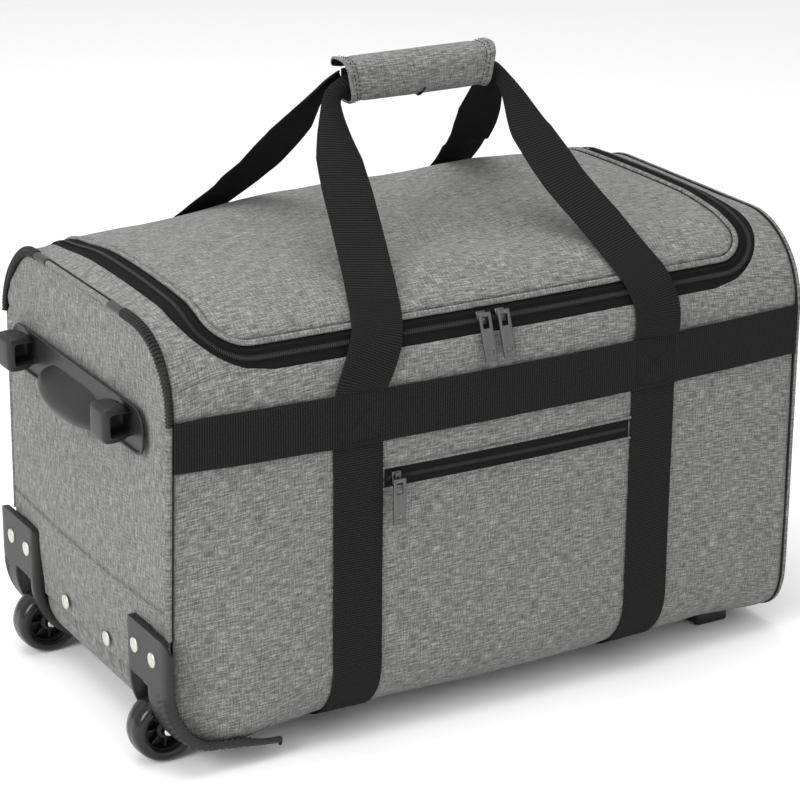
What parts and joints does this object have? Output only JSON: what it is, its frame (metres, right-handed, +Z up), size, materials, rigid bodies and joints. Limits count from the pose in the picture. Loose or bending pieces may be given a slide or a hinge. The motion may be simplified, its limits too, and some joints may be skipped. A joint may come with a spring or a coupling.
{
  "type": "rolling duffel bag",
  "caption": "Rolling duffel bag in grey melange fabric with black webbing, a U-shaped lid zip, wheels and a telescopic handle.",
  "frame": {"origin": "on the floor, at the bottom centre of the bounding box: middle of the length, midway between the wheels", "axes": "+X along the bag to the end with the telescopic handle (wheels at -X); -Y is the front with the pocket; +Z up"},
  "size_m": [0.597, 0.3413, 0.482],
  "materials": {
    "grey_fabric": "heather grey woven polyester, fine slubs, matt",
    "black_webbing": "black woven polyester webbing, fine cross ribs, matt",
    "zip_tape": "black woven zip tape with a nylon coil",
    "stiffener_board": "black board",
    "dark_plastic": "dark grey moulded plastic, satin with a fine grain",
    "tyre_rubber": "black moulded tyre, glossy",
    "gunmetal": "gunmetal plated zip puller",
    "nickel": "nickel plated rivet and axle",
    "aluminium": "anodised aluminium tube"
  },
  "bodies": {
    "root": {"front_panel": "grey_fabric", "back_panel": "grey_fabric", "base_panel": "grey_fabric", "top_border_wheel_end": "grey_fabric", "top_border_handle_end": "grey_fabric", "wheel_end_panel_upper": "grey_fabric", "wheel_end_panel_lower": "grey_fabric", "handle_end_panel": "grey_fabric", "piping_handle_end": "grey_fabric", "piping_wheel_end_top": "grey_fabric", "piping_wheel_end_front": "grey_fabric", "piping_wheel_end_back": "grey_fabric", "corner_guard_front": "dark_plastic", "corner_guard_back": "dark_plastic", "band_front": "black_webbing", "band_back": "black_webbing", "strap_wheel_end": "black_webbing", "strap_handle_end": "black_webbing", "end_strap": "black_webbing", "zip_tape_body": "zip_tape", "pocket_zip_tape": "zip_tape", "base_board": "stiffener_board", "wheel_housing_front": "dark_plastic", "wheel_housing_back": "dark_plastic", "axle_front": "nickel", "axle_back": "nickel", "glide_front": "dark_plastic", "glide_back": "dark_plastic", "housing_rivet_front_inner": "nickel", "housing_rivet_front_outer": "nickel", "housing_rivet_back_inner": "nickel", "housing_rivet_back_outer": "nickel", "base_rivet_front": "nickel", "base_rivet_back": "nickel", "upright_stand": "dark_plastic", "trolley_outer_tube_front": "aluminium", "trolley_outer_tube_back": "aluminium", "tube_bracket": "dark_plastic", "trolley_bezel": "dark_plastic"},
    "lid": {"lid_panel": "grey_fabric", "zip_tape_lid": "zip_tape"},
    "slider_left": {"zip_slider_left": "gunmetal"},
    "slider_right": {"zip_slider_right": "gunmetal"},
    "tab_left": {"zip_tab_left": "gunmetal"},
    "tab_right": {"zip_tab_right": "gunmetal"},
    "carry_handle_front": {"front_handle": "black_webbing", "grip_wrap": "grey_fabric"},
    "carry_handle_back": {"back_handle": "black_webbing"},
    "pocket_slider": {"pocket_slider": "gunmetal"},
    "pocket_tab": {"pocket_tab": "gunmetal"},
    "wheel_front": {"tyre_front": "tyre_rubber", "hub_front": "dark_plastic"},
    "wheel_back": {"tyre_back": "tyre_rubber", "hub_back": "dark_plastic"},
    "trolley_middle": {"trolley_middle_tube_front": "aluminium", "trolley_middle_tube_back": "aluminium"},
    "trolley_inner": {"trolley_inner_tube_front": "aluminium", "trolley_inner_tube_back": "aluminium", "trolley_grip": "dark_plastic"},
    "trolley_button": {"release_button": "dark_plastic"}
  },
  "joints": [
    {"name": "wheel_front_spin", "type": "hinge", "parent": "root", "child": "wheel_front", "pos_m": [-0.263, -0.108, 0.026], "axis": [0, 1, 0], "continuous": true},
    {"name": "wheel_back_spin", "type": "hinge", "parent": "root", "child": "wheel_back", "pos_m": [-0.263, 0.108, 0.026], "axis": [0, 1, 0], "continuous": true},
    {"name": "lid_hinge", "type": "hinge", "parent": "root", "child": "lid", "pos_m": [0, 0.147, 0.332], "axis": [-1, 0, 0], "range_deg": [0, 100]},
    {"name": "front_handle_fold", "type": "hinge", "parent": "root", "child": "carry_handle_front", "pos_m": [0, -0.1683, 0.282], "axis": [1, 0, 0], "range_deg": [0, 200], "deforming": ["front_handle"]},
    {"name": "back_handle_fold", "type": "hinge", "parent": "root", "child": "carry_handle_back", "pos_m": [0, 0.1683, 0.282], "axis": [-1, 0, 0], "range_deg": [0, 200], "deforming": ["back_handle"]},
    {"name": "slider_left_slide", "type": "slide", "parent": "lid", "child": "slider_left", "axis": [-1, 0, 0], "range_m": [0, 0.05]},
    {"name": "slider_right_slide", "type": "slide", "parent": "lid", "child": "slider_right", "axis": [1, 0, 0], "range_m": [0, 0.08]},
    {"name": "tab_left_swing", "type": "hinge", "parent": "slider_left", "child": "tab_left", "pos_m": [-0.0225, -0.15777, 0.32142], "axis": [-1, 0, 0], "range_deg": [0, 100]},
    {"name": "tab_right_swing", "type": "hinge", "parent": "slider_right", "child": "tab_right", "pos_m": [-0.0065, -0.15786, 0.32141], "axis": [-1, 0, 0], "range_deg": [0, 100]},
    {"name": "pocket_slide", "type": "slide", "parent": "root", "child": "pocket_slider", "axis": [1, 0, 0], "range_m": [0, 0.19]},
    {"name": "pocket_tab_swing", "type": "hinge", "parent": "pocket_slider", "child": "pocket_tab", "pos_m": [-0.099, -0.1696, 0.2115], "axis": [-1, 0, 0], "range_deg": [0, 90]},
    {"name": "trolley_lower_slide", "type": "slide", "parent": "root", "child": "trolley_middle", "axis": [1, 0, 0], "range_m": [0, 0.225]},
    {"name": "trolley_upper_slide", "type": "slide", "parent": "trolley_middle", "child": "trolley_inner", "axis": [1, 0, 0], "range_m": [0, 0.225]},
    {"name": "button_press", "type": "slide", "parent": "trolley_inner", "child": "trolley_button", "axis": [-1, 0, 0], "range_m": [0, 0.0025], "stiffness_N_per_m": 400}
  ],
  "couplings": [
    {"joint": "front_handle_fold", "follows": "lid_hinge", "ratio": 2},
    {"joint": "back_handle_fold", "follows": "lid_hinge", "ratio": 2}
  ]
}
